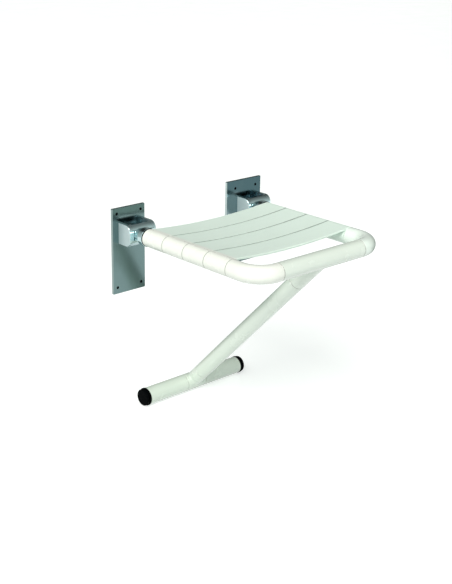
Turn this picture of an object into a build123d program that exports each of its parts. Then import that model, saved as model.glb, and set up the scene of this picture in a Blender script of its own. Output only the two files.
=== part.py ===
from build123d import *
import os
from math import atan2, cos, degrees, hypot, radians, sin

# Lift-up shower seat on two wall plates, braced by a T-shaped leg that stands in the corner of
# wall and floor. X runs along the wall, the wall face is the plane Y = 0 and the room is at -Y,
# Z is up. The origin lies on the wall face, in the middle of the wall plates' bolt pattern.

# ---- driving dimensions (mm) ----
FLOOR_Z = -401.0            # floor, below the bolt pattern's centre
TUBE_X = 182.0              # side tube axes at +-X
TUBE_Z = 43.0               # height of the side and front tube axes
FRONT_Y = -430.0            # front tube axis
BEND_R = 50.0               # centre line radius of the seat frame's corners
COVER_R = 20.0              # plastic covers on the seat frame
CORE_R = 14.0               # steel core tube of the seat frame, and of the foot bar
CORE_WALL = 2.0
SEAM = 0.6                  # gap between neighbouring covers
EDGE = 0.8                  # chamfer on the covers' ends

PLATE_T = 6.0
PLATE_X = {"left": (-46.0, 46.0), "right": (-62.0, 52.0)}    # edges, from the side tube's axis
PLATE_Z = {"left": (-103.0, 100.5), "right": (-105.5, 107.5)}
HOLE_PITCH_X = 68.0
HOLE_PITCH_Z = 176.0
HOLE_R = 3.5

PIVOT_Y = -31.0             # seat hinge pins, on the side tubes' height
PIN_R = 5.0
BUSH_R = 7.0
RUNNING = 0.05              # radial clearance of the turning fits
BRACKET_X = {"left": (-29.0, 46.0), "right": (-26.0, 49.0)}  # cheeks' outer faces, from that axis
CHEEK_T = 8.0
HEAD_TOP = 23.5             # cheeks' and knuckle's height over the pin axis
HEAD_BOTTOM = -26.5
HEAD_FRONT = -47.5
HEAD_R = 17.5               # rounding of the cheeks' and knuckle's front corners
OPENING_Y = -36.0           # front edge of the opening on top of the head
LEDGE_T = 4.0               # ledge between the cheeks, under the knuckle
REST_GAP = 0.3              # between the ledge and the knuckle when the seat is down
SIDE_GAP = 0.5              # between the knuckle and the cheeks
EAR_T = 5.0
KNUCKLE_WALL = 6.0
BARREL_R = 11.5
NECK_END = -79.0            # where the knuckle's neck meets the first cover
NECK_R = 21.5
NECK_ROOT_R = 14.5
SOCKET_END = -57.0          # bottom of the core tube's socket in the neck
SCREW_Y = -70.0             # grub screws in the neck
SCREW_R = 3.0
SCREW_LENGTH = 6.0

SLAT_COUNT = 4
SLAT_PITCH = 68.25
SLAT_SAG_Z = 11.0           # slats' top in the middle, over the tube axes
SLAT_T = 5.0
SLAT_GAP = 2.8              # between neighbouring slats' flats
CORNER_SEAM_X = 125.0

LEG_R = 19.0
LEG_TUBE_R = 13.0
TEE_R = 4.0                 # inner corners between the leg and the two bars
LEG_SEAM_TOP = 92.0         # along the leg, from the front tube's axis
LEG_SEAM_BOTTOM = 53.0      # along the leg, from the foot bar's axis
PIVOT_TUBE_R = 17.5
PIVOT_TUBE_BORE = 15.5
PIVOT_BUSH_LENGTH = 24.0
PIVOT_FLANGE = 3.0          # from the corner seam to the pivot tube's end
STOP_PIN_R = 3.0
STOP_PIN_X = 60.0
LEG_SWING = 33.0            # how far the leg folds towards the seat

FOOT_R = 21.0
FOOT_AXIS = 22.0            # foot bar's axis, from the wall and from the floor
FOOT_TEE_X = 29.0
FOOT_END_X = 147.0          # end of the foot bar's covers
CAP_RIM_R = 22.0
CAP_DISC_R = 20.5

# ---- sizes that follow ----
FOOT_Z = FLOOR_Z + FOOT_AXIS
LEG_DY = -FOOT_AXIS - FRONT_Y
LEG_DZ = FOOT_Z - TUBE_Z
LEG_LENGTH = hypot(LEG_DY, LEG_DZ)
LEG_DIR = Vector(0, LEG_DY / LEG_LENGTH, LEG_DZ / LEG_LENGTH)
SLATS_END = NECK_END - SLAT_COUNT * SLAT_PITCH
SIDES = {"left": -1, "right": 1}


def cylinder(start, direction, length, radius):
    """Solid cylinder from a start point along a direction."""
    return extrude(Plane(origin=start, z_dir=direction) * Circle(radius), length)


def tube(start, direction, length, radius, bore):
    return cylinder(start, direction, length, radius) - cylinder(start, direction, length, bore)


def sleeve(start, direction, length, radius, bore, edge=EDGE):
    """Tube whose outer end edges are chamfered."""
    body = cylinder(start, direction, length, radius)
    ends = body.edges().filter_by(GeomType.CIRCLE)
    return chamfer(ends, edge) - cylinder(start, direction, length, bore)


def block(x, y, z):
    """Box from three (low, high) pairs."""
    size = [high - low for low, high in (x, y, z)]
    middle = [(high + low) / 2 for low, high in (x, y, z)]
    return Pos(*middle) * Box(*size)


def side_profile(sketch, x_low, x_high):
    """Extrude a sketch drawn as (Y, Z) from x_low to x_high."""
    plane = Plane(origin=(x_low, 0, 0), x_dir=(0, 1, 0), z_dir=(1, 0, 0))
    return extrude(plane * sketch, x_high - x_low)


# ---- wall side ----
def wall_plate(side):
    centre_x = SIDES[side] * TUBE_X
    edges_x = [centre_x + edge for edge in PLATE_X[side]]
    plate = block(edges_x, (-PLATE_T, 0), PLATE_Z[side])
    plate = fillet(plate.edges().filter_by(Axis.Y), 1.5)
    front = plate.faces().sort_by(Axis.Y)[0]
    plate = chamfer(front.edges(), 0.6)
    for dx in (-HOLE_PITCH_X / 2, HOLE_PITCH_X / 2):
        for dz in (-HOLE_PITCH_Z / 2, HOLE_PITCH_Z / 2):
            plate -= cylinder((centre_x + dx, 1, dz), (0, -1, 0), PLATE_T + 2, HOLE_R)
    return plate


def cheek_outline():
    """Side outline of the fixed cheeks: flat on the plate, with rounded front corners."""
    top, bottom = TUBE_Z + HEAD_TOP, TUBE_Z + HEAD_BOTTOM
    corners = [(HEAD_FRONT, top), (-PLATE_T, top), (-PLATE_T, bottom), (HEAD_FRONT, bottom)]
    face = make_face(Polyline(*corners, close=True))
    return fillet(face.vertices().sort_by(Axis.X)[:2], HEAD_R)


def bracket_ends(side):
    """X of the two cheeks' outer faces."""
    return [SIDES[side] * TUBE_X + edge for edge in BRACKET_X[side]]


def hinge_bracket(side):
    """Two cheeks with a ledge between them, on which the knuckle rests when the seat is down."""
    left, right = bracket_ends(side)
    outline = cheek_outline()
    bracket = side_profile(outline, left, left + CHEEK_T)
    bracket += side_profile(outline, right - CHEEK_T, right)
    faces = bracket.faces().sort_by(Axis.X)
    edges = [*faces[0].edges(), *faces[-1].edges()]
    bracket = chamfer([e for e in edges if e.bounding_box().min.Y < -PLATE_T - 1], 0.8)
    ledge_z = (TUBE_Z + HEAD_BOTTOM, TUBE_Z + HEAD_BOTTOM + LEDGE_T)
    bracket += block((left + 1, right - 1), (-36.0, -12.0), ledge_z)
    bore_end = left + CHEEK_T / 2
    return bracket - cylinder((bore_end, PIVOT_Y, TUBE_Z), (1, 0, 0), right - bore_end + 1, PIN_R)


def hinge_pin(side):
    """Pin from a blind bore in the left cheek to the right cheek's face, with a hex socket."""
    left, end = bracket_ends(side)
    start = left + CHEEK_T / 2
    pin = cylinder((start, PIVOT_Y, TUBE_Z), (1, 0, 0), end - start, PIN_R)
    hex_r, hex_depth = 2.8, 4.0
    socket = Plane(origin=(end, PIVOT_Y, TUBE_Z), z_dir=(1, 0, 0)) * RegularPolygon(hex_r, 6)
    return pin - extrude(socket, -hex_depth)


# ---- seat ----
def knuckle_ends(side):
    """X of the knuckle's two end faces, between the cheeks."""
    left, right = bracket_ends(side)
    return left + CHEEK_T + SIDE_GAP, right - CHEEK_T - SIDE_GAP


def knuckle_outlines():
    """Side outlines of the knuckle's ears and of its front wall: both lie within the cheeks'."""
    bottom = TUBE_Z + HEAD_BOTTOM + LEDGE_T + REST_GAP
    top = TUBE_Z + HEAD_TOP
    ear = make_face(Polyline(
        (HEAD_FRONT - 1, top + 1),
        (HEAD_FRONT - 1, bottom),
        (PIVOT_Y - 0.5, bottom),
        (PIVOT_Y + 13, TUBE_Z - 6),
        (PIVOT_Y + 13, TUBE_Z + 6),
        (PIVOT_Y + 4, top - 2),
        (OPENING_Y, top + 1),
        close=True,
    ))
    inner_front = HEAD_FRONT + KNUCKLE_WALL
    front_wall = make_face(Polyline(
        (HEAD_FRONT - 1, top + 1),
        (HEAD_FRONT - 1, bottom),
        (PIVOT_Y - 0.5, bottom),
        (PIVOT_Y - 0.5, bottom + 5),
        (inner_front + 4, bottom + 5),
        (inner_front, TUBE_Z - 6),
        (inner_front, TUBE_Z + HEAD_TOP - HEAD_R + 2),
        (OPENING_Y, top - KNUCKLE_WALL),
        (OPENING_Y, top + 1),
        close=True,
    ))
    return [face & cheek_outline() for face in (ear, front_wall)]


def hinge_knuckle(side):
    """Chrome knuckle: ears and barrel on the pin, a front wall, and a neck over the side tube."""
    axis_x = SIDES[side] * TUBE_X
    left, right = knuckle_ends(side)
    ear, front_wall = knuckle_outlines()
    knuckle = side_profile(front_wall, left, right)
    knuckle += side_profile(ear, left, left + EAR_T)
    knuckle += side_profile(ear, right - EAR_T, right)
    knuckle += cylinder((left, PIVOT_Y, TUBE_Z), (1, 0, 0), right - left, BARREL_R)
    # web between the front wall and the barrel
    knuckle += block((axis_x - 6, axis_x + 6), (HEAD_FRONT + 3, PIVOT_Y), (TUBE_Z - 8, TUBE_Z + 8))
    # slots beside the neck
    slot_y = (HEAD_FRONT - 1, HEAD_FRONT + KNUCKLE_WALL + 2)
    slot_z = (TUBE_Z - 11.5, TUBE_Z + 11)
    knuckle -= block((axis_x - NECK_ROOT_R - 3.5, axis_x - NECK_ROOT_R), slot_y, slot_z)
    knuckle -= block((axis_x + NECK_ROOT_R, axis_x + NECK_ROOT_R + 6), slot_y, slot_z)
    # neck: a flare from the front wall to a groove beside the tube's cover, with a socket for the core
    shoulder, groove, groove_r, root_y = NECK_END + 14, 1.4, NECK_R - 4, HEAD_FRONT + 3
    outline = Polyline(
        (0, root_y),
        (NECK_ROOT_R, root_y),
        (NECK_R, shoulder),
        (NECK_R, NECK_END + groove + 0.6),
        (NECK_R - 0.6, NECK_END + groove),
        (groove_r, NECK_END + groove),
        (groove_r, NECK_END),
        (0, NECK_END),
        close=True,
    )
    neck = revolve(make_face(outline), axis=Axis.Y)
    knuckle += Pos(axis_x, 0, TUBE_Z) * neck
    knuckle -= cylinder((axis_x, NECK_END - 1, TUBE_Z), (0, 1, 0), SOCKET_END - NECK_END + 1, CORE_R)
    knuckle -= cylinder((left - 1, PIVOT_Y, TUBE_Z), (1, 0, 0), right - left + 2, BUSH_R)
    return knuckle - cylinder((axis_x, SCREW_Y, TUBE_Z), (0, 0, -1), NECK_R + 1, SCREW_R)


def hinge_bush(side, place):
    """Plain bearing bush in the knuckle's left or right end."""
    length = 16.0
    left, right = knuckle_ends(side)
    start = left if place == "left" else right - length
    return tube((start, PIVOT_Y, TUBE_Z), (1, 0, 0), length, BUSH_R, PIN_R + RUNNING)


def socket_screws():
    """Grub screws that lock the core tube in the two necks."""
    hex_r, hex_depth = 1.7, 3.0
    head_z = TUBE_Z - CORE_R - SCREW_LENGTH
    screws = []
    for sign in SIDES.values():
        body = cylinder((sign * TUBE_X, SCREW_Y, head_z), (0, 0, 1), SCREW_LENGTH, SCREW_R)
        hexagon = Plane(origin=(sign * TUBE_X, SCREW_Y, head_z)) * RegularPolygon(hex_r, 6)
        screws.append(body - extrude(hexagon, hex_depth))
    return Compound(children=screws)


def frame_path(sign, side_y, front_x):
    """Centre line of one corner: along the side tube, round the bend and along the front tube."""
    return FilletPolyline(
        (sign * TUBE_X, side_y, TUBE_Z),
        (sign * TUBE_X, FRONT_Y, TUBE_Z),
        (sign * front_x, FRONT_Y, TUBE_Z),
        radius=BEND_R,
    )


def seat_core_tube():
    path = FilletPolyline(
        (-TUBE_X, SOCKET_END, TUBE_Z),
        (-TUBE_X, FRONT_Y, TUBE_Z),
        (TUBE_X, FRONT_Y, TUBE_Z),
        (TUBE_X, SOCKET_END, TUBE_Z),
        radius=BEND_R,
    )
    start = Plane(origin=(-TUBE_X, SOCKET_END, TUBE_Z), z_dir=(0, -1, 0))
    core = sweep(start * Circle(CORE_R), path=path) - sweep(start * Circle(CORE_R - CORE_WALL), path=path)
    return core - stop_pin()


def corner_sleeve(side):
    sign = SIDES[side]
    path = frame_path(sign, SLATS_END - SEAM / 2, CORNER_SEAM_X + SEAM / 2)
    start = Plane(origin=path @ 0, z_dir=(0, -1, 0))
    body = sweep(start * Circle(COVER_R), path=path)
    ends = body.edges().filter_by(GeomType.CIRCLE)
    ends = [e for e in ends if abs(e.radius - COVER_R) < 0.01 and e.is_closed]
    return chamfer(ends, EDGE) - sweep(start * Circle(CORE_R), path=path)


def slat_face():
    """Flat of a slat as (X, Z): a band that hangs between the two sleeves and meets them at a tangent."""
    rise = (TUBE_X**2 + SLAT_SAG_Z**2 - COVER_R**2) / (2 * (COVER_R - SLAT_SAG_Z))
    centre_z = TUBE_Z + SLAT_SAG_Z + rise
    touch = atan2(TUBE_X, centre_z - TUBE_Z)
    ring = Pos(0, centre_z) * (Circle(rise + SLAT_T) - Circle(rise))
    half = TUBE_X - COVER_R * sin(touch)
    return ring & Pos(0, TUBE_Z + COVER_R) * Rectangle(2 * half, 4 * COVER_R)


def slat(index):
    """One slat: a sleeve round each side tube and the sagging flat between them."""
    rear = NECK_END - index * SLAT_PITCH - SEAM / 2
    length = SLAT_PITCH - SEAM
    plane = Plane(origin=(0, rear - (SLAT_GAP - SEAM) / 2, 0), x_dir=(1, 0, 0), z_dir=(0, -1, 0))
    flat = extrude(plane * slat_face(), SLAT_PITCH - SLAT_GAP)
    rims = [e for e in flat.edges() if e.length > TUBE_X]
    body = fillet(rims, 1.2)
    for sign in SIDES.values():
        start = (sign * TUBE_X, rear, TUBE_Z)
        ring = cylinder(start, (0, -1, 0), length, COVER_R)
        body += chamfer(ring.edges().filter_by(GeomType.CIRCLE), EDGE)
    for sign in SIDES.values():
        body -= cylinder((sign * TUBE_X, rear + 1, TUBE_Z), (0, -1, 0), length + 2, CORE_R)
    return body


# ---- support leg ----
def leg_point(distance):
    return Vector(0, FRONT_Y, TUBE_Z) + LEG_DIR * distance


def stop_angle():
    """Direction of the stop pin about the front tube's axis: square to the leg, on top."""
    return degrees(atan2(LEG_DZ, LEG_DY)) + 90


def stop_pin():
    """Pin through the core tube's wall, which runs in a slot of the leg's pivot tube."""
    angle = radians(stop_angle())
    direction = Vector(0, cos(angle), sin(angle))
    inner, outer = CORE_R - CORE_WALL - 1, PIVOT_TUBE_R - 0.3
    start = Vector(STOP_PIN_X, FRONT_Y, TUBE_Z) + direction * inner
    return cylinder(start, direction, outer - inner, STOP_PIN_R)


def stop_slot():
    """The slot that the stop pin runs in while the pivot tube turns by the leg's swing."""
    slot = None
    steps = 12
    for step in range(steps + 1):
        turn = -LEG_SWING * step / steps
        angle = radians(stop_angle() + turn)
        direction = Vector(0, cos(angle), sin(angle))
        start = Vector(STOP_PIN_X, FRONT_Y, TUBE_Z) + direction * CORE_R
        cut = cylinder(start, direction, PIVOT_TUBE_R - CORE_R + 2, STOP_PIN_R + 0.2)
        slot = cut if slot is None else slot + cut
    return slot


def leg_pivot_tube():
    half = CORNER_SEAM_X - PIVOT_FLANGE
    body = tube((-half, FRONT_Y, TUBE_Z), (1, 0, 0), 2 * half, PIVOT_TUBE_R, PIVOT_TUBE_BORE)
    return body - stop_slot()


def pivot_bush(side):
    """Flanged bush between the core tube and the leg's pivot tube."""
    sign = SIDES[side]
    start = (sign * (CORNER_SEAM_X - SEAM / 2), FRONT_Y, TUBE_Z)
    inwards = (-sign, 0, 0)
    body = cylinder(start, inwards, PIVOT_FLANGE - SEAM / 2, PIVOT_TUBE_R)
    body += cylinder(start, inwards, PIVOT_BUSH_LENGTH, PIVOT_TUBE_BORE)
    return body - cylinder(start, inwards, PIVOT_BUSH_LENGTH, CORE_R + RUNNING)


def tee(centre, half, radius, direction, length):
    """Solid tee: a bar along X and a branch, with a rounded inner corner between them."""
    bar = cylinder(centre - Vector(half, 0, 0), (1, 0, 0), 2 * half, radius)
    branch = cylinder(centre, direction, length, LEG_R)
    body = bar + branch
    body = fillet(body.edges().filter_by(GeomType.BSPLINE), TEE_R)
    ends = [e for e in body.edges().filter_by(GeomType.CIRCLE) if e.is_closed]
    return chamfer(ends, EDGE)


def front_tee_cover():
    """Plastic cover of the front tube with the leg's short branch."""
    half = CORNER_SEAM_X - SEAM / 2
    body = tee(leg_point(0), half, COVER_R, LEG_DIR, LEG_SEAM_TOP - SEAM / 2)
    body -= cylinder((-half, FRONT_Y, TUBE_Z), (1, 0, 0), 2 * half, PIVOT_TUBE_R)
    return body - cylinder(leg_point(0), LEG_DIR, LEG_SEAM_TOP, LEG_TUBE_R)


def leg_tube():
    body = tube(leg_point(0), LEG_DIR, LEG_LENGTH, LEG_TUBE_R, LEG_TUBE_R - CORE_WALL)
    body -= cylinder((-50, FRONT_Y, TUBE_Z), (1, 0, 0), 100, PIVOT_TUBE_R)
    return body - cylinder((-50, -FOOT_AXIS, FOOT_Z), (1, 0, 0), 100, CORE_R)


def leg_cover():
    length = LEG_LENGTH - LEG_SEAM_TOP - LEG_SEAM_BOTTOM - SEAM
    return sleeve(leg_point(LEG_SEAM_TOP + SEAM / 2), LEG_DIR, length, LEG_R, LEG_TUBE_R)


def foot_tube():
    start = (-FOOT_END_X, -FOOT_AXIS, FOOT_Z)
    return tube(start, (1, 0, 0), 2 * FOOT_END_X, CORE_R, CORE_R - CORE_WALL)


def foot_tee_cover():
    """Plastic cover of the joint between the leg and the foot bar."""
    half = FOOT_TEE_X - SEAM / 2
    centre = Vector(0, -FOOT_AXIS, FOOT_Z)
    body = tee(centre, half, FOOT_R, LEG_DIR * -1, LEG_SEAM_BOTTOM - SEAM / 2)
    body -= cylinder((-half, -FOOT_AXIS, FOOT_Z), (1, 0, 0), 2 * half, CORE_R)
    return body - cylinder(centre, LEG_DIR * -1, LEG_SEAM_BOTTOM, LEG_TUBE_R)


def foot_sleeve(side):
    sign = SIDES[side]
    start = (sign * (FOOT_TEE_X + SEAM / 2), -FOOT_AXIS, FOOT_Z)
    return sleeve(start, (sign, 0, 0), FOOT_END_X - FOOT_TEE_X - SEAM / 2, FOOT_R, CORE_R)


def foot_cap(side):
    """Rubber cap: a plug in the foot tube, a rim that stands on the floor, and an end disc."""
    rim, groove, disc, plug = 5.0, 2.5, 5.5, 18.0
    start = Vector(SIDES[side] * FOOT_END_X, -FOOT_AXIS, FOOT_Z)
    out = Vector(SIDES[side], 0, 0)
    rim_body = cylinder(start, out, rim, CAP_RIM_R)
    body = chamfer(rim_body.edges().filter_by(GeomType.CIRCLE), 1.0)
    body += cylinder(start, out, rim + groove + 0.5, CAP_DISC_R - 2.5)
    disc_body = cylinder(start + out * (rim + groove), out, disc, CAP_DISC_R)
    end_edge = disc_body.edges().filter_by(GeomType.CIRCLE).sort_by(lambda e: abs(e.center().X))[-1]
    body += fillet(end_edge, 2.5)
    return body + cylinder(start - out * plug, out, plug + 1, CORE_R - CORE_WALL)


def nodes():
    """Every sub-part by its node name."""
    found = {}
    for side in SIDES:
        found[f"{side}_wall_plate"] = wall_plate(side)
        found[f"{side}_hinge_bracket"] = hinge_bracket(side)
        found[f"{side}_hinge_pin"] = hinge_pin(side)
        found[f"{side}_hinge_knuckle"] = hinge_knuckle(side)
        for place in SIDES:
            found[f"{side}_hinge_bush_{place}"] = hinge_bush(side, place)
        found[f"{side}_corner_sleeve"] = corner_sleeve(side)
        found[f"{side}_pivot_bush"] = pivot_bush(side)
        found[f"{side}_foot_sleeve"] = foot_sleeve(side)
        found[f"{side}_foot_cap"] = foot_cap(side)
    for index in range(SLAT_COUNT):
        found[f"slat_{index + 1}"] = slat(index)
    found["socket_screws"] = socket_screws()
    found["seat_core_tube"] = seat_core_tube()
    found["leg_stop_pin"] = stop_pin()
    found["leg_pivot_tube"] = leg_pivot_tube()
    found["front_tee_cover"] = front_tee_cover()
    found["leg_tube"] = leg_tube()
    found["leg_cover"] = leg_cover()
    found["foot_tube"] = foot_tube()
    found["foot_tee_cover"] = foot_tee_cover()
    return found


os.makedirs("parts", exist_ok=True)
for name, shape in nodes().items():
    export_step(shape, f"parts/{name}.step")
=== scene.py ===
import math

import bmesh
import bpy
from mathutils import Matrix, Vector


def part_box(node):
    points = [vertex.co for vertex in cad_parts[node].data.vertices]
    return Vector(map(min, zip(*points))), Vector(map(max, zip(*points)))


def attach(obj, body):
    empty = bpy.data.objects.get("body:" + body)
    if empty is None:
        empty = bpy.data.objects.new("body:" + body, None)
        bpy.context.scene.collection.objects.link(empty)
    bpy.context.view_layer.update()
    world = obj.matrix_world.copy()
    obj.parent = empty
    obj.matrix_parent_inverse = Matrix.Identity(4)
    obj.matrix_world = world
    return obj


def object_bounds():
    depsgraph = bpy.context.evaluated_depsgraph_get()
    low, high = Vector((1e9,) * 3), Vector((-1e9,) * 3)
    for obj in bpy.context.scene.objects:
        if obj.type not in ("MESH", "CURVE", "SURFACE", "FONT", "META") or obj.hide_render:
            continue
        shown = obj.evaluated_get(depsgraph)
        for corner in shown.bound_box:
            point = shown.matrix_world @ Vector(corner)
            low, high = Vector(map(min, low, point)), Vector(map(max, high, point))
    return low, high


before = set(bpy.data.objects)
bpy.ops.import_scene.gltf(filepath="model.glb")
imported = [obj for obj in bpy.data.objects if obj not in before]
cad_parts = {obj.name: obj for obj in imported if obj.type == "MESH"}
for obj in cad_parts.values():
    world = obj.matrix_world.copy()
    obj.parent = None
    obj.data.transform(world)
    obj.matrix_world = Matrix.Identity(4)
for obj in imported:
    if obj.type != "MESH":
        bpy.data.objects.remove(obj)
cad_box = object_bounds()

# Lift-up shower seat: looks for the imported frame. Metres, in the row frame: the wall face is
# Y = 0, the room is at -Y, and Z is up from the middle of the wall plates' bolt pattern.
X_AXIS, Y_AXIS = Vector((1, 0, 0)), Vector((0, 1, 0))
TUBE_X = 0.182              # side tube axes
LEG_TOP = Vector((0.0, -0.430, 0.043))      # the leg's axis, from the front tube to the foot bar
LEG_FOOT = Vector((0.0, -0.022, -0.379))
LEG_AXIS = (LEG_FOOT - LEG_TOP).normalized()
LEG_SEAMS = (0.092, 0.534)  # seams in the leg's covers, from its top
HOLE_X = (0.148, 0.216)     # the plates' holes, at +-X and +-Z
HOLE_Z = 0.088
CHEEK_T = 0.008             # the hinge brackets' cheeks
NECK_END = -0.079           # wall side end of the first slat's sleeves
OPENING_Y = -0.036          # front edge of the opening on top of the hinge heads
SEAM_NEAR, SEAM_FAR = 0.0005, 0.0011        # a seam is full up to the first and gone at the second
GAP_NEAR, GAP_FAR = 0.0014, 0.0024          # the same for the wider gaps between slats

# Colours are linear RGB. The plastics are pairs: a light tone, and the darker tone it is mottled
# with.
CREAM = (0.895, 0.905, 0.848), (0.875, 0.888, 0.828)
# The plastic is one cream nylon; pale mint, celadon and mint are painted shade, greener copies of
# the cream.
RIGHT_CORNER_PAINTED_SHADE = (0.885, 0.965, 0.905), (0.865, 0.947, 0.885)
COVER_PAINTED_SHADE = (0.795, 0.858, 0.788), (0.778, 0.842, 0.770)
FLAT_PAINTED_SHADE = (0.808, 0.926, 0.855), (0.793, 0.912, 0.840)
# Painted shade in the seams between sleeves and in the gaps between slats.
SEAM_PAINTED_SHADE, GAP_PAINTED_SHADE = (0.47, 0.49, 0.45), (0.36, 0.43, 0.39)
# The left corner sleeve takes the lit cream, the right one its painted shade copy.
CORNERS = {"left_corner_sleeve": CREAM, "right_corner_sleeve": RIGHT_CORNER_PAINTED_SHADE}


def slot_nodes(slot):
    """The CAD nodes that carry one of the record's material slots."""
    found = [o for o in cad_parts.values() if o.data.materials[0].name.split(".")[0] == slot]
    return sorted(found, key=lambda o: o.name)


# ---- node trees ----
class Nodes:
    """A node tree under construction, and the coordinate that its textures read."""

    def __init__(self, tree, coordinate):
        self.tree = tree
        self.coordinate = self.add("ShaderNodeTexCoord").outputs[coordinate]

    def add(self, kind, **settings):
        node = self.tree.nodes.new(kind)
        for key, value in settings.items():
            setattr(node, key, value)
        return node

    def link(self, source, target):
        self.tree.links.new(source, target)

    def feed(self, socket, value):
        """Link or set one input socket."""
        if isinstance(value, bpy.types.NodeSocket):
            self.link(value, socket)
        else:
            socket.default_value = value

    def stretch(self, factors):
        """The coordinate times a factor for each axis."""
        node = self.add("ShaderNodeMapping", vector_type="POINT")
        self.link(self.coordinate, node.inputs["Vector"])
        node.inputs["Scale"].default_value = factors
        return node.outputs["Vector"]

    def noise(self, scale, detail=3.0, roughness=0.5, vector=None, distortion=0.0):
        node = self.add("ShaderNodeTexNoise")
        self.link(vector or self.coordinate, node.inputs["Vector"])
        node.inputs["Scale"].default_value = scale
        node.inputs["Detail"].default_value = detail
        node.inputs["Roughness"].default_value = roughness
        node.inputs["Distortion"].default_value = distortion
        return node.outputs["Fac"]

    def cells(self, scale):
        node = self.add("ShaderNodeTexVoronoi")
        self.link(self.coordinate, node.inputs["Vector"])
        node.inputs["Scale"].default_value = scale
        return node.outputs["Distance"]

    def span(self, value, low, high, to_low=0.0, to_high=1.0):
        """Map a value from one range to another, with smooth ends."""
        node = self.add("ShaderNodeMapRange", interpolation_type="SMOOTHSTEP")
        self.link(value, node.inputs["Value"])
        ends = {"From Min": low, "From Max": high, "To Min": to_low, "To Max": to_high}
        for socket, number in ends.items():
            node.inputs[socket].default_value = number
        return node.outputs["Result"]

    def calc(self, operation, first, second=0.0):
        node = self.add("ShaderNodeMath", operation=operation)
        self.feed(node.inputs[0], first)
        self.feed(node.inputs[1], second)
        return node.outputs[0]

    def mix(self, factor, first, second, blend="MIX"):
        """Mix two colours, each a socket or three numbers."""
        node = self.add("ShaderNodeMix", data_type="RGBA", blend_type=blend)
        self.feed(node.inputs[0], factor)
        for socket, colour in ((node.inputs[6], first), (node.inputs[7], second)):
            if isinstance(colour, tuple):
                colour = (*colour, 1.0)
            self.feed(socket, colour)
        return node.outputs[2]

    def mix_values(self, factor, first, second):
        node = self.add("ShaderNodeMix", data_type="FLOAT")
        for index, value in zip((0, 2, 3), (factor, first, second)):
            self.feed(node.inputs[index], value)
        return node.outputs[0]

    def axis(self, letter):
        node = self.add("ShaderNodeSeparateXYZ")
        self.link(self.coordinate, node.inputs[0])
        return node.outputs[letter]

    def along(self, direction):
        """The coordinate's dot product with a direction."""
        node = self.add("ShaderNodeVectorMath", operation="DOT_PRODUCT")
        self.link(self.coordinate, node.inputs[0])
        node.inputs[1].default_value = direction
        return node.outputs["Value"]


class Shader(Nodes):
    """A material under construction."""

    def __init__(self, name, **values):
        self.material = bpy.data.materials.new(name)
        self.material.use_nodes = True
        super().__init__(self.material.node_tree, "Object")
        self.bsdf = self.tree.nodes["Principled BSDF"]
        for socket, value in values.items():
            self.bsdf.inputs[socket.replace("_", " ")].default_value = value

    def bump(self, height, distance, strength, below=None):
        node = self.add("ShaderNodeBump")
        self.link(height, node.inputs["Height"])
        node.inputs["Distance"].default_value = distance
        node.inputs["Strength"].default_value = strength
        if below:
            self.link(below, node.inputs["Normal"])
        return node.outputs["Normal"]

    def seam(self, planes, near, far):
        """1 at the planes, which are (normal, offset) pairs, and 0 further than far from them."""
        nearest = None
        for normal, offset in planes:
            gap = self.calc("ABSOLUTE", self.calc("SUBTRACT", self.along(normal), offset))
            nearest = gap if nearest is None else self.calc("MINIMUM", nearest, gap)
        return self.span(nearest, near, far, 1.0, 0.0)

    def outside(self, value, low, high, depth, fade):
        """1 within depth of either end of a range of the value, and 0 a fade further in."""
        return self.calc(
            "MAXIMUM",
            self.span(value, low + depth, low + depth + fade, 1.0, 0.0),
            self.span(value, high - depth - fade, high - depth),
        )

    def finish(self, colour, roughness, normal=None):
        for socket, value in (("Base Color", colour), ("Roughness", roughness), ("Normal", normal)):
            if value is not None:
                self.link(value, self.bsdf.inputs[socket])
        return self.material


# ---- materials ----
def moulded_colour(s, plastic, seam_shade, seam):
    """Plastic colour: slow mottling, fine speckle, and a darker line of painted shade along the
    seams.
    """
    light, shade = plastic
    body = s.mix(s.span(s.noise(7), 0.3, 0.7), light, shade)
    body = s.mix(s.span(s.noise(1500, 1), 0.3, 0.7, 0.0, 0.15), body, shade)
    return s.mix(seam, body, seam_shade)


def cover_seams(name):
    """The planes of the seams at a cover's ends."""
    low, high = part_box(name)
    leg = [(LEG_AXIS, LEG_AXIS.dot(LEG_TOP) + along) for along in LEG_SEAMS]
    if name == "leg_cover":
        return leg
    if name in CORNERS:
        inner = high.x if high.x < 0 else low.x
        return [(Y_AXIS, high.y), (X_AXIS, inner)]
    ends = [(X_AXIS, low.x), (X_AXIS, high.x)]
    return ends + leg if "tee" in name else ends


def cover_plastic(name):
    s = Shader(name + "_nylon", IOR=1.52, Coat_Weight=0.75, Coat_Roughness=0.08)
    seam = s.seam(cover_seams(name), SEAM_NEAR, SEAM_FAR)
    if "foot" in name:
        seam = s.calc("MULTIPLY", seam, 0.4)
    # cream on the left corner sleeve; painted shade copies of it on the right corner sleeve and the
    # other covers
    colour = moulded_colour(s, CORNERS.get(name, COVER_PAINTED_SHADE), SEAM_PAINTED_SHADE, seam)
    if name not in CORNERS:
        # painted shade: the leg and the foot bar get darker towards the floor
        painted_floor_shade = s.span(s.axis("Z"), -0.42, -0.12, 0.50, 0.0)
        colour = s.mix(painted_floor_shade, colour, s.mix(1.0, colour, (0.70, 0.76, 0.70), "MULTIPLY"))
    roughness = s.span(s.noise(25), 0.3, 0.7, 0.22, 0.28)
    flow = s.bump(s.noise(30, 1), 0.0003, 0.03)
    return s.finish(colour, roughness, s.bump(s.noise(700, 1), 0.00003, 0.05, flow))


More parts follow.
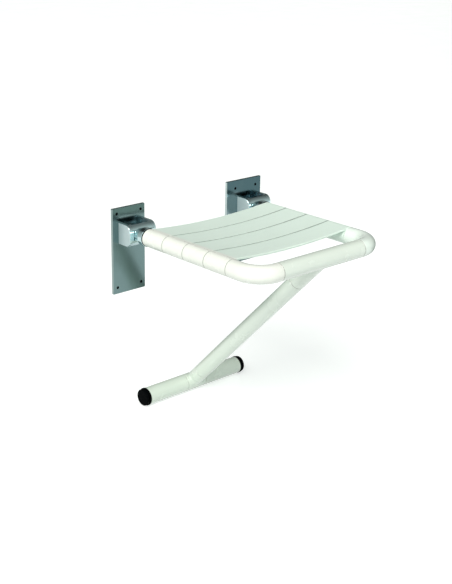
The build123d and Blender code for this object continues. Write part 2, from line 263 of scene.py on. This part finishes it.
def slat_plastic(name):
    """Satin flats between glossy cream sleeves, which are parts of one moulding; the flats' mint is
    painted shade on the same cream.
    """
    s = Shader(name + "_nylon", IOR=1.50, Coat_Weight=0.08, Coat_Roughness=0.25)
    low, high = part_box(name)
    ends = [(Y_AXIS, low.y), (Y_AXIS, high.y)]
    # The cream reaches past the left tube's axis towards the middle but starts only outward of the
    # right one's, so the right sleeves' inner side takes the flats' painted shade.
    on_left_tube = s.span(s.axis("X"), 0.004 - TUBE_X, 0.020 - TUBE_X, 1.0, 0.0)
    on_right_tube = s.span(s.axis("X"), TUBE_X + 0.002, TUBE_X + 0.016)
    on_tube = s.calc("MAXIMUM", on_left_tube, on_right_tube)
    # painted shade along the seams at the sleeves' ends
    sleeve = moulded_colour(s, CREAM, SEAM_PAINTED_SHADE, s.seam(ends, SEAM_NEAR, SEAM_FAR))
    gaps = ends[1:] if name == "slat_4" else ends       # no slat in front of the fourth
    # the flats in painted shade of the cream, with painted shade along the gaps between slats
    flat = moulded_colour(s, FLAT_PAINTED_SHADE, GAP_PAINTED_SHADE, s.seam(gaps, GAP_NEAR, GAP_FAR))
    colour = s.mix(on_tube, flat, sleeve)
    if name == "slat_1":
        # painted shade where the first sleeves meet the hinge necks
        neck_shade = s.span(s.axis("Y"), NECK_END - 0.0014, NECK_END - 0.0009)
        colour = s.mix(s.calc("MULTIPLY", neck_shade, 0.8), colour, (0.16, 0.19, 0.18))
    satin = s.span(s.noise(40), 0.3, 0.7, 0.44, 0.52)
    glossy = s.span(s.noise(25), 0.3, 0.7, 0.24, 0.30)
    roughness = s.mix_values(on_tube, satin, glossy)
    grain = s.calc("MULTIPLY", s.cells(1150), s.span(on_tube, 0.0, 1.0, 1.0, 0.1))
    flow = s.bump(s.noise(30, 1), 0.0003, 0.10)
    return s.finish(colour, roughness, s.bump(grain, 0.00006, 0.25, flow))


def plate_steel(name):
    """Brushed steel with lighter side faces, a painted highlight. The right plate is darker, a
    painted shade, and its side faces lighter still.
    """
    right = name.startswith("right")
    # the brushing's two tones, and the side faces' painted highlight
    light, shade, side_highlight = (0.166, 0.242, 0.246), (0.150, 0.222, 0.226), (0.27, 0.33, 0.33)
    # the right plate: a darker copy of the same steel, painted shade, with a stronger painted
    # highlight on its side faces
    if right:
        light, shade, side_highlight = (0.073, 0.130, 0.147), (0.065, 0.119, 0.134), (0.44, 0.51, 0.52)
    s = Shader(name + "_brushed_steel", Metallic=1.0)
    strokes = s.noise(1.0, 4, 0.6, s.stretch((1900, 1900, 12)))
    stain = s.noise(11, 4, 0.55, distortion=0.4)
    colour = s.mix(s.span(strokes, 0.3, 0.7), shade, light)
    colour = s.mix(s.span(stain, 0.45, 0.75, 0.0, 0.30), colour, (0.140, 0.202, 0.207))
    low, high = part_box(name)
    x = s.axis("X")
    if right:
        # painted light: lighter to the left of the hinge head and below its top
        lit_below_top = s.span(s.axis("Z"), 0.068, 0.084, 0.85, 0.0)
        lit_left_of_head = s.span(x, low.x + 0.030, low.x + 0.050, 1.0, 0.0)
        colour = s.mix(s.calc("MULTIPLY", lit_below_top, lit_left_of_head), colour, (0.225, 0.303, 0.322))
    # painted highlight on the side faces
    colour = s.mix(s.outside(x, low.x, high.x, 0.0004, 0.0003), colour, side_highlight)
    streaks = s.span(strokes, 0.25, 0.75, 0.10, 0.17)
    roughness = s.calc("ADD", streaks, s.span(stain, 0.4, 0.7, 0.0, 0.05))
    return s.finish(colour, roughness, s.bump(strokes, 0.00002, 0.3))


def hinge_chrome(name):
    """Polished knuckles, and brackets of the same metal with satin outer faces. Within the head the
    metal is rougher, and darker by painted shade.
    """
    s = Shader(name + "_chrome", Metallic=1.0)
    smudge = s.noise(30, 4, 0.55, distortion=0.3)
    smudged = s.span(smudge, 0.35, 0.7)
    colour = s.mix(smudged, (0.55, 0.69, 0.71), (0.49, 0.63, 0.65))
    roughness = s.span(smudge, 0.35, 0.7, 0.06, 0.12)
    x, y = s.axis("X"), s.axis("Y")
    if name.endswith("bracket"):
        low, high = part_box(name)
        outer = s.outside(x, low.x, high.x, 0.0002, 0.0002)
        satin = s.mix(smudged, (0.515, 0.610, 0.630), (0.485, 0.580, 0.600))
        colour = s.mix(outer, colour, satin)
        s.link(s.span(outer, 0.0, 1.0, 1.0, 0.45), s.bsdf.inputs["Metallic"])
        roughness = s.calc("ADD", roughness, s.calc("MULTIPLY", outer, 0.35))
        # the cheeks' inner faces: painted shade, and a rougher finish
        cheek = CHEEK_T - 0.0006
        shaded_rough_inside = s.calc("SUBTRACT", 1.0, s.outside(x, low.x, high.x, cheek, 0.0004))
    else:
        # within the head, from the opening's front edge to the wall: painted shade, and a rougher
        # finish
        shaded_rough_inside = s.span(y, OPENING_Y - 0.0002, OPENING_Y + 0.0004)
        # painted shade at the neck's end, where the first sleeves cover it
        neck_end_shade = s.span(y, NECK_END + 0.0013, NECK_END + 0.0017, 1.0, 0.0)
        colour = s.mix(neck_end_shade, colour, (0.04, 0.05, 0.05))
    colour = s.mix(shaded_rough_inside, colour, (0.47, 0.56, 0.60))
    roughness = s.calc("ADD", roughness, s.calc("MULTIPLY", shaded_rough_inside, 0.30))
    cast = s.bump(s.noise(75, 2), 0.0006, 0.22)
    return s.finish(colour, roughness, s.bump(s.noise(700, 2), 0.00004, 0.25, cast))


def cap_rubber(name):
    s = Shader(name + "_black_rubber", Specular_IOR_Level=0.02)
    dust = s.span(s.noise(60, 5, 0.6), 0.5, 0.8, 0.0, 0.4)
    colour = s.mix(dust, (0.0012, 0.0018, 0.0021), (0.004, 0.006, 0.007))
    roughness = s.span(s.noise(220), 0.3, 0.7, 0.60, 0.78)
    return s.finish(colour, roughness, s.bump(s.noise(1500, 3, 0.6), 0.0002, 0.5))


def turned_steel(name, tint=(0.55, 0.56, 0.57), scale=(2600, 300, 300)):
    """Machined or drawn steel with fine lines."""
    s = Shader(name + "_turned_steel", Metallic=1.0)
    lines = s.noise(1.0, 3, 0.6, s.stretch(scale))
    colour = s.mix(s.span(lines, 0.3, 0.7), tint, tuple(0.8 * c for c in tint))
    roughness = s.span(lines, 0.25, 0.75, 0.22, 0.38)
    return s.finish(colour, roughness, s.bump(lines, 0.00004, 0.4))


def core_steel(name):
    return turned_steel(name, (0.48, 0.50, 0.51), (500, 500, 500))


def bush_plastic(name):
    s = Shader(name + "_acetal", IOR=1.48)
    mottle = s.span(s.noise(300), 0.3, 0.7)
    colour = s.mix(mottle, (0.045, 0.048, 0.050), (0.065, 0.068, 0.070))
    roughness = s.span(s.noise(500), 0.3, 0.7, 0.38, 0.5)
    return s.finish(colour, roughness, s.bump(s.noise(1200, 2), 0.00005, 0.4))


FINISHES = {
    "cover_plastic": cover_plastic,
    "slat_plastic": slat_plastic,
    "plate_steel": plate_steel,
    "hinge_chrome": hinge_chrome,
    "cap_rubber": cap_rubber,
    "pin_steel": turned_steel,
    "core_steel": core_steel,
    "bush_plastic": bush_plastic,
}
for slot, finish in FINISHES.items():
    for node in slot_nodes(slot):
        node.data.materials[0] = finish(node.name)


# ---- painted shade: dark ends of the wall holes ----
def make_hole_shade_plugs():
    """A short dark plug at the wall end of each plate hole: painted shade, where no wall shades it.
    """
    radius, length, centre_y, bevel = 0.0034, 0.00216, -0.0012, 0.0004
    level = 1e-7                # a rim's edges differ by less than this along Y
    bm = bmesh.new()
    for x in (-HOLE_X[1], -HOLE_X[0], HOLE_X[0], HOLE_X[1]):
        for z in (-HOLE_Z, HOLE_Z):
            turn = Matrix.Rotation(math.radians(90), 4, "X")
            bmesh.ops.create_cone(
                bm, cap_ends=True, segments=32, radius1=radius, radius2=radius,
                depth=length, matrix=Matrix.Translation((x, centre_y, z)) @ turn,
            )
    rims = [e for e in bm.edges if abs(e.verts[0].co.y - e.verts[1].co.y) < level]
    bmesh.ops.bevel(bm, geom=rims, offset=bevel, segments=2, affect="EDGES")
    mesh = bpy.data.meshes.new("wall_hole_ends")
    bm.to_mesh(mesh)
    bm.free()
    piece = bpy.data.objects.new("wall_hole_ends", mesh)
    bpy.context.scene.collection.objects.link(piece)
    s = Shader("wall_hole_shade", Specular_IOR_Level=0.1)
    mottle = s.span(s.noise(700), 0.3, 0.7)
    colour = s.mix(mottle, (0.006, 0.009, 0.010), (0.016, 0.022, 0.024))
    mesh.materials.append(s.finish(colour, s.span(s.noise(900, 2), 0.3, 0.7, 0.7, 0.9)))
    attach(piece, "wall_mount")


make_hole_shade_plugs()


# ---- floor and light ----
FLOOR_SIZE = 60.0
FLOOR_DROP = 0.0002         # below the rubber caps, so that no faces coincide
FLOOR_LIFT = 0.57           # light added to the floor as it is seen, to keep it white
FAR_CORNER = Vector((0.7, 0.7, 0.0))        # from the camera's side to behind the seat
CAMERA_WHITE = 1.05         # the world's strength as the camera sees it
DARK_CARDS = (              # direction, half angle in degrees, factor on the room's light
    ((0.9, 0.2, 0.35), 24, 0.10),
    ((0.1, 0.9, 0.55), 22, 0.15),
    ((-0.3, -0.5, 0.9), 16, 0.30),
)


def make_floor():
    """Pale floor. In mirrors it is white in front of the seat and dark behind it, a painted shade.
    """
    half = FLOOR_SIZE / 2
    z = cad_box[0].z - FLOOR_DROP
    mesh = bpy.data.meshes.new("floor")
    corners = [(x * half, y * half, z) for x, y in ((-1, -1), (1, -1), (1, 1), (-1, 1))]
    mesh.from_pydata(corners, [], [(0, 1, 2, 3)])
    floor = bpy.data.objects.new("floor", mesh)
    bpy.context.scene.collection.objects.link(floor)
    s = Shader("floor_white", Specular_IOR_Level=0.3)
    s.bsdf.inputs["Emission Color"].default_value = (1.0, 1.0, 1.0, 1.0)
    path = s.add("ShaderNodeLightPath")
    mirrored = path.outputs["Is Glossy Ray"]
    front = s.span(s.along(FAR_CORNER), 0.15, 0.60, 1.0, 0.0)
    seen = s.calc("MAXIMUM", path.outputs["Is Camera Ray"], s.calc("MULTIPLY", mirrored, front))
    s.link(s.calc("MULTIPLY", seen, FLOOR_LIFT), s.bsdf.inputs["Emission Strength"])
    colour = s.mix(s.span(s.noise(2.0, 4), 0.3, 0.7), (0.67, 0.70, 0.69), (0.65, 0.68, 0.67))
    # painted shade: in mirrors the floor behind the seat is dark
    behind = s.calc("MULTIPLY", mirrored, s.calc("SUBTRACT", 1.0, front))
    colour = s.mix(behind, colour, (0.16, 0.20, 0.18))
    mesh.materials.append(s.finish(colour, s.span(s.noise(5.0), 0.3, 0.7, 0.10, 0.16)))


def make_world():
    """White for the camera; for light and reflections, a pale room with a few dark cards."""
    world = bpy.data.worlds.new("studio")
    bpy.context.scene.world = world
    world.use_nodes = True
    s = Nodes(world.node_tree, "Generated")
    room = s.span(s.axis("Z"), 0.0, 0.9, 0.92, 0.66)
    side = s.span(s.along(FAR_CORNER + Vector((0.0, 0.0, 0.1))), -0.4, 0.6, 1.0, 0.32)
    room = s.calc("MULTIPLY", room, side)
    for direction, half_angle, factor in DARK_CARDS:
        edge = math.cos(math.radians(half_angle))
        facing = s.along(Vector(direction).normalized())
        room = s.calc("MULTIPLY", room, s.span(facing, edge - 0.05, edge + 0.05, 1.0, factor))
    seen = s.add("ShaderNodeLightPath").outputs["Is Camera Ray"]
    background = s.tree.nodes["Background"]
    s.link(s.mix(seen, (0.925, 1.0, 0.960), (1.0, 1.0, 1.0)), background.inputs["Color"])
    s.link(s.mix_values(seen, room, CAMERA_WHITE), background.inputs["Strength"])


def sun_light(name, aim, strength, angle, colour):
    """A soft sun that shines along aim."""
    light = bpy.data.lights.new(name, "SUN")
    light.energy, light.angle, light.color = strength, math.radians(angle), colour
    lamp = bpy.data.objects.new(name, light)
    bpy.context.scene.collection.objects.link(lamp)
    lamp.rotation_mode = "QUATERNION"
    lamp.rotation_quaternion = Vector(aim).to_track_quat("-Z", "Y")


make_floor()
make_world()
sun_light("key", (0.70, 0.42, -0.85), 2.08, 36, (1.0, 0.98, 0.935))
sun_light("fill", (0.75, 0.60, -0.25), 0.5, 60, (0.97, 1.0, 0.98))


# ---- camera ----
CAMERA_PLACE = Vector((-1.63431, -1.90108, 0.76605))
CAMERA_ANGLES = (-42.85, 20.055, 1.148)     # azimuth, elevation and roll in degrees
CAMERA_LENS = 67.084


def make_camera():
    azimuth, elevation, roll = map(math.radians, CAMERA_ANGLES)
    back = Vector((
        math.sin(azimuth) * math.cos(elevation),
        -math.cos(azimuth) * math.cos(elevation),
        math.sin(elevation),
    ))
    level = Vector((math.cos(azimuth), math.sin(azimuth), 0.0))
    upright = back.cross(level)
    right = level * math.cos(roll) + upright * math.sin(roll)
    up = upright * math.cos(roll) - level * math.sin(roll)
    turn = Matrix((right, up, back)).transposed().to_4x4()
    data = bpy.data.cameras.new("camera")
    data.lens = CAMERA_LENS
    camera = bpy.data.objects.new("camera", data)
    bpy.context.scene.collection.objects.link(camera)
    camera.matrix_world = Matrix.Translation(CAMERA_PLACE) @ turn
    bpy.context.scene.camera = camera


make_camera()
bpy.context.scene.view_settings.view_transform = "Standard"
